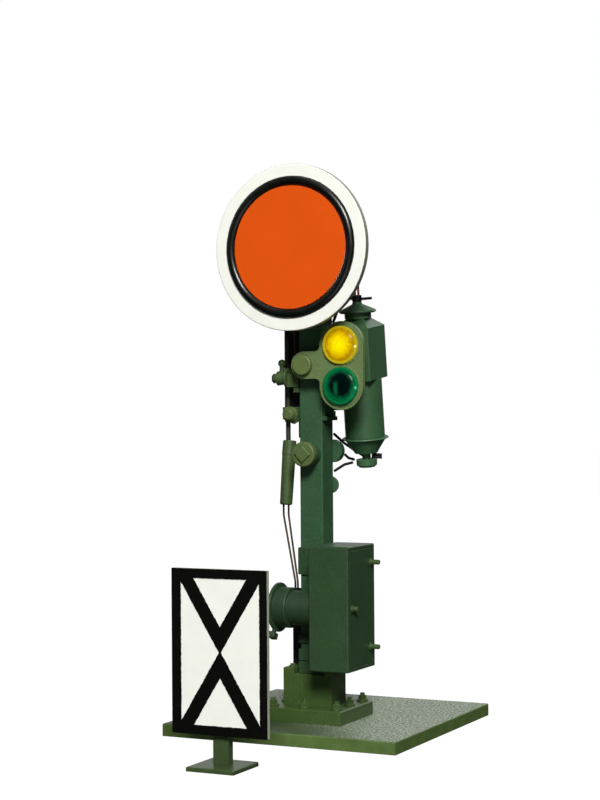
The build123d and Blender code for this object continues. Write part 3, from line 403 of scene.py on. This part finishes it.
def yellow_painted_glow(centre, radius):
    """A yellow lens with the lamp's light behind it painted in: a painted glow, bright in the middle, with a
    mottled amber ring and a paler rim, given as colour and emission, and a painted glint at its right rim.
    """
    look = Look("yellow_painted_glow")
    away = look.length(look.share_of(centre, radius))
    ripple = look.math("MULTIPLY", look.math("SUBTRACT", look.noise(0.2, detail=4, rough=0.6), 0.5), 0.42)
    rim_glint = rim_spot(look, centre, radius)
    glow = look.ramp(look.math("ADD", away, ripple), (0.0, srgb(255, 240, 0)), (0.36, srgb(246, 222, 0)),
                     (0.64, srgb(214, 172, 0)), (0.8, srgb(168, 128, 0)), (0.92, srgb(196, 170, 10)),
                     (1.0, srgb(172, 160, 40)))
    glow = look.mix(rim_glint, glow, srgb(255, 250, 170))
    # Painted light: the glow is the lens's own colour and emission, not light from the lamp behind it.
    look.set(base_color=look.mix(1.0, glow, (0.3, 0.3, 0.2, 1), "MULTIPLY"), roughness=0.22,
             specular_ior_level=0.14, emission_color=glow, emission_strength=0.72)
    look.rough_surface(look.noise(0.3, detail=2), 0.2, 0.02, 0.03)
    return look.material


def green_glass_painted_light(centre, radius):
    """A green lens with nothing lit behind it: painted dark in the middle as shade, a painted glowing rim
    given as colour and emission, a painted pale streak of light, and a painted glint at its right rim.
    """
    look = Look("green_glass_painted_light")
    share = look.share_of(centre + Vector((0.07, 0, 0.09)) * MM, radius)
    ripple = look.math("MULTIPLY", look.math("SUBTRACT", look.noise(0.45, detail=3), 0.5), 0.3)
    reach = look.math("ADD", look.length(share), ripple)
    tone = look.ramp(reach, (0.0, srgb(0, 8, 7)), (0.55, srgb(0, 14, 11)),
                     (0.72, srgb(0, 66, 38)), (0.88, srgb(1, 104, 56)), (1.0, srgb(1, 84, 44)))
    inner = look.add("ShaderNodeSeparateXYZ", vector=share).outputs
    beside = look.math("ABSOLUTE", look.math("ADD", inner["X"], 0.25))
    along = look.math("ABSOLUTE", look.math("ADD", inner["Z"], 0.2))
    streak = look.math("MULTIPLY", look.math("SUBTRACT", 1.0, look.mask(beside, 0.02, 0.2)),
                       look.math("SUBTRACT", 1.0, look.mask(along, 0.15, 0.5)))
    streaked = look.mix(look.math("MULTIPLY", streak, 0.7), tone, srgb(14, 100, 62))
    # Painted light and shade: the dark middle, the rim's glow as emission, the pale streak and the rim glint
    # are all in the colour.
    look.set(base_color=look.mix(rim_spot(look, centre, radius), streaked, srgb(90, 205, 165)),
             roughness=0.24, specular_ior_level=0.15, emission_color=tone, emission_strength=0.3)
    look.rough_surface(look.noise(0.3, detail=2), 0.15, 0.02, 0.03)
    return look.material


def clear_glass():
    look = Look("clear_glass")
    smear = look.noise(0.8, detail=3)
    look.set(base_color=(0.95, 0.97, 0.95, 1), transmission_weight=1.0, ior=1.45,
             roughness=look.math("ADD", 0.02, look.math("MULTIPLY", smear, 0.08)))
    look.rough_surface(smear, 0.1, 0.01, 0.03)
    return look.material


def lamp_plastic():
    """The milky plastic of the lamp inside the lantern, faintly lit."""
    look = Look("lamp_plastic")
    tone = look.ramp(look.noise(0.4, detail=2), (0.3, srgb(235, 228, 190)), (0.7, srgb(250, 246, 220)))
    look.set(base_color=tone, roughness=0.3, subsurface_weight=0.2, emission_color=tone,
             emission_strength=0.6)
    look.rough_surface(look.noise(0.2), 0.2, 0.01)
    return look.material


def dress(material, *names):
    """Gives CAD nodes a material."""
    for name in names:
        for place in NODES[name].material_slots:
            place.material = material


# ---- pieces -----------------------------------------------------------------------------
def add_piece(name, mesh, body, material, stands_for=()):
    """A new piece that rides on a body, in place of any CAD nodes named."""
    mesh.materials.append(material)
    piece = bpy.data.objects.new(name, mesh)
    bpy.context.scene.collection.objects.link(piece)
    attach(piece, body)
    if stands_for:
        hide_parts(*stands_for)
    return piece


def turned(name, outline, centre, axis, steps=96):
    """A closed solid of revolution: (radius, height) points in millimetres, height along the axis."""
    lean = axis.to_track_quat("Z", "Y").to_matrix()
    shape = bmesh.new()
    rings = []
    for radius, height in outline:
        if radius == 0:
            rings.append([shape.verts.new(centre + lean @ Vector((0, 0, height * MM)))])
            continue
        rings.append([
            shape.verts.new(centre + lean @ Vector((radius * MM * cos(tau * i / steps),
                                                    radius * MM * sin(tau * i / steps), height * MM)))
            for i in range(steps)
        ])
    for low, high in zip(rings, rings[1:]):
        for i in range(steps):
            j = (i + 1) % steps
            corners = [low[i % len(low)], low[j % len(low)], high[j % len(high)], high[i % len(high)]]
            shape.faces.new(list(dict.fromkeys(corners)))
    bmesh.ops.recalc_face_normals(shape, faces=shape.faces)
    mesh = bpy.data.meshes.new(name)
    shape.to_mesh(mesh)
    shape.free()
    mesh.polygons.foreach_set("use_smooth", [True] * len(mesh.polygons))
    return mesh


def middle_of(node):
    low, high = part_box(node)
    return (Vector(low) + Vector(high)) / 2


def lens(node, body, look):
    """A moulded lens: a flat rim with a small step, then a dome."""
    low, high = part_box(node)
    centre = middle_of(node)
    back = Vector((centre.x, high[1], centre.z))
    radius = (high[0] - low[0]) / 2 / MM
    depth = (high[1] - low[1]) / MM
    dome = radius * 0.84
    rim = depth - 0.16
    chamfer, groove = 0.03, 0.05
    outline = [(0, 0), (radius, 0), (radius, rim - chamfer), (radius - chamfer, rim), (dome + 0.04, rim),
               (dome, rim - groove)]
    steps = 12
    for i in range(1, steps):
        angle = i / steps * pi / 2
        outline.append((dome * cos(angle), rim - groove + (depth - rim + groove) * sin(angle)))
    outline.append((0, depth))
    mesh = turned(node, outline, back, FORWARD)
    add_piece(node + "_moulding", mesh, body, look(centre, radius * MM), (node,))


def ragged(corners, step, depth, chance):
    """A closed outline with its straight sides broken into steps that wander by up to depth."""
    points = []
    for start, end in zip(corners, corners[1:] + corners[:1]):
        start, end = Vector(start), Vector(end)
        side = end - start
        out = Vector((side.y, -side.x)).normalized()
        count = max(2, round(side.length / step))
        for i in range(count):
            wander = chance.uniform(-depth, depth) if i else 0
            points.append(start + side * (i / count) + out * wander)
    return points


def printed_sign():
    """The board's printed black frame and its two Vs, with the slightly ragged edge of a small print."""
    low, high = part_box("board_print")
    centre = middle_of("board_print")
    half_w, half_h = (high[0] - low[0]) / 2, (high[2] - low[2]) / 2
    frame_width = 0.58 * MM
    side_gap, end_gap = 0.78 * MM, 1.47 * MM    # from the white triangles' corners to the board's edges
    apex, waist = 1.55 * MM, 0.06 * MM          # from the triangles' inner tips to the board's centre
    inner_w, inner_h = half_w - frame_width, half_h - frame_width
    side_corner, end_corner = half_h - side_gap, half_w - end_gap
    step, depth = 0.08 * MM, 0.016 * MM
    aside = 0.07 * MM                   # the print sits a little to the right on its board
    chance = Random(5)
    outlines = [ragged([(-half_w, -half_h), (half_w, -half_h), (half_w, half_h), (-half_w, half_h)],
                       step, 0, chance)]
    for sign in (-1, 1):
        outlines.append(ragged([(aside - end_corner, sign * inner_h), (aside + end_corner, sign * inner_h),
                                (aside, sign * apex)], step, depth, chance))
        outlines.append(ragged([(aside + sign * inner_w, -side_corner), (aside + sign * inner_w, side_corner),
                                (aside + sign * waist, 0)], step, depth, chance))
    curve = bpy.data.curves.new("printed_sign", "CURVE")
    curve.dimensions = "2D"
    curve.fill_mode = "BOTH"
    curve.extrude = (high[1] - low[1]) / 2
    for outline in outlines:
        spline = curve.splines.new("POLY")
        spline.points.add(len(outline) - 1)
        spline.use_cyclic_u = True
        for point, place in zip(spline.points, outline):
            point.co = (place.x, place.y, 0, 1)
    shape = bpy.data.objects.new("printed_sign", curve)
    mesh = bpy.data.meshes.new_from_object(shape)
    bpy.data.objects.remove(shape)
    mesh.transform(Matrix.Translation(centre) @ Matrix.Rotation(pi / 2, 4, "X"))
    add_piece("printed_sign", mesh, "marker_board", board_ink(), ("board_print",))


def board_ink():
    """Black ink that lets a few pale specks of the board through."""
    look = Look("board_ink")
    grain = look.noise(0.12, detail=4, rough=0.8)
    gaps = look.mask(look.noise(0.1, detail=3, rough=0.8), 0.7, 0.78)
    ink = look.ramp(grain, (0.35, srgb(1, 2, 1)), (0.7, srgb(9, 10, 8)))
    look.set(base_color=look.mix(look.math("MULTIPLY", gaps, 0.3), ink, srgb(120, 120, 116)),
             roughness=look.math("ADD", 0.5, look.math("MULTIPLY", grain, 0.2)), specular_ior_level=0.1)
    look.rough_surface(grain, 0.5, 0.015, 0.02)
    return look.material


# ---- making -----------------------------------------------------------------------------
make_camera()
make_lights()
make_world()
make_stage()

MAST_GREEN = srgb(49, 82, 54)
OLIVE = srgb(82, 99, 57)
DARK_OLIVE = srgb(60, 80, 44)
SOCKET_GREEN = srgb(60, 82, 40)
EDGE_GREY = srgb(112, 120, 102)

mast_paint = paint("mast_paint", MAST_GREEN)
box_paint = paint("box_paint", srgb(44, 68, 43), roughness=0.42, blotch=0.2)
drum_painted_shade = paint("drum_painted_shade", srgb(37, 58, 38), blotch=0.15)
lantern_paint = paint("lantern_paint", srgb(50, 84, 54), blotch=0.15)
bolt_paint = paint("bolt_paint", OLIVE, roughness=0.42)
linkage_paint = paint("linkage_paint", DARK_OLIVE, roughness=0.42)
socket_paint = paint("socket_paint", SOCKET_GREEN, roughness=0.42, speck=0.15)
spectacle_paint = paint("spectacle_paint", srgb(93, 113, 70), roughness=0.5, blotch=0.12, speck=0.15)
# Very dark paint for the pieces behind the disc: painted shade of the disc.
painted_disc_shade = paint("painted_disc_shade", srgb(22, 32, 24), roughness=0.6, speck=0.1, wear_and_highlight=0.2)
rod_paint = paint("rod_paint", srgb(42, 48, 30), roughness=0.5, speck=0.1, wear_and_highlight=0.2)
blackened = metal("blackened", srgb(70, 58, 44), 0.35)
steel = metal("steel", srgb(176, 176, 172), 0.25)
black_wire = dark_matt("black_wire", srgb(14, 14, 12), 0.5)
copper = metal("copper", srgb(196, 112, 72), 0.3)

dress(base_plate_paint(), "base_plate")
dress(mast_paint, "mast", "mast_cap", "rear_boss", "rear_stud", "lantern_bracket")
dress(painted_disc_shade, "disc_bracket", "disc_carrier")
# The drum's flange takes the lighter box paint and its body the darker drum paint: lit and shaded copies,
# painted light and shade on one drum.
dress(box_paint, "box_shell", "box_cover", "drum_flange", "mast_clamps")
dress(drum_painted_shade, "drum_body")
dress(lantern_paint, "lantern_body", "lantern_cap", "lantern_tank")
# A lighter copy of the lantern paint for the cone: painted light on its downward-facing sides.
dress(paint("cone_painted_light", srgb(58, 96, 62), blotch=0.15), "tank_cone")
dress(socket_paint, "foot_flange", "foot_bolts", "foot_socket", "socket_screw")
dress(bolt_paint, "mid_boss", "square_bolt", "guide_bolt")
dress(linkage_paint, "pivot_bracket", "bearing_housing", "crank_lever", "guide_bracket", "rod_sleeve",
      "cover_pins")
dress(rod_paint, "push_rod")
dress(spectacle_paint, "spectacle_plate")
dress(paint("boss_paint", srgb(90, 106, 58), roughness=0.4, speck=0.5), "spectacle_boss")
dress(white_front("disc_white", srgb(236, 238, 230), EDGE_GREY), "disc_plate")
dress(orange_paint(), "disc_face")
dress(black_enamel(), "disc_ring")
dress(steel, "hinge_pin", "spectacle_pivot", "cross_shaft", "drum_axle", "axle_crank", "plunger")
dress(blackened, "spectacle_link", "rod_hook", "pull_wires")
# Near-black for the strip beside the mast: partly a black part, partly painted shade of the gap between rod
# and mast.
dress(dark_matt("guide_black", srgb(8, 12, 9)), "guide_strip")
dress(metal("brass", srgb(200, 160, 84)), "axle_bush")
dress(metal("coil_copper", srgb(168, 88, 50), 0.35), "coil_winding")
dress(copper, "led_leads")
dress(black_wire, "lead_collar", "coil_bobbin", "feed_wires")
dress(clear_glass(), "lantern_glass")
dress(lamp_plastic(), "lantern_led")
dress(white_front("board_white", srgb(239, 241, 234), scaled(EDGE_GREY, 2.2)), "board_panel")
dress(paint("post_paint", srgb(58, 76, 44), blotch=0.12, roughness=0.36), "board_post", "board_foot")

lens("yellow_lens", "spectacle", yellow_painted_glow)
lens("green_lens", "spectacle", green_glass_painted_light)
printed_sign()

bpy.context.scene.view_settings.view_transform = "Standard"
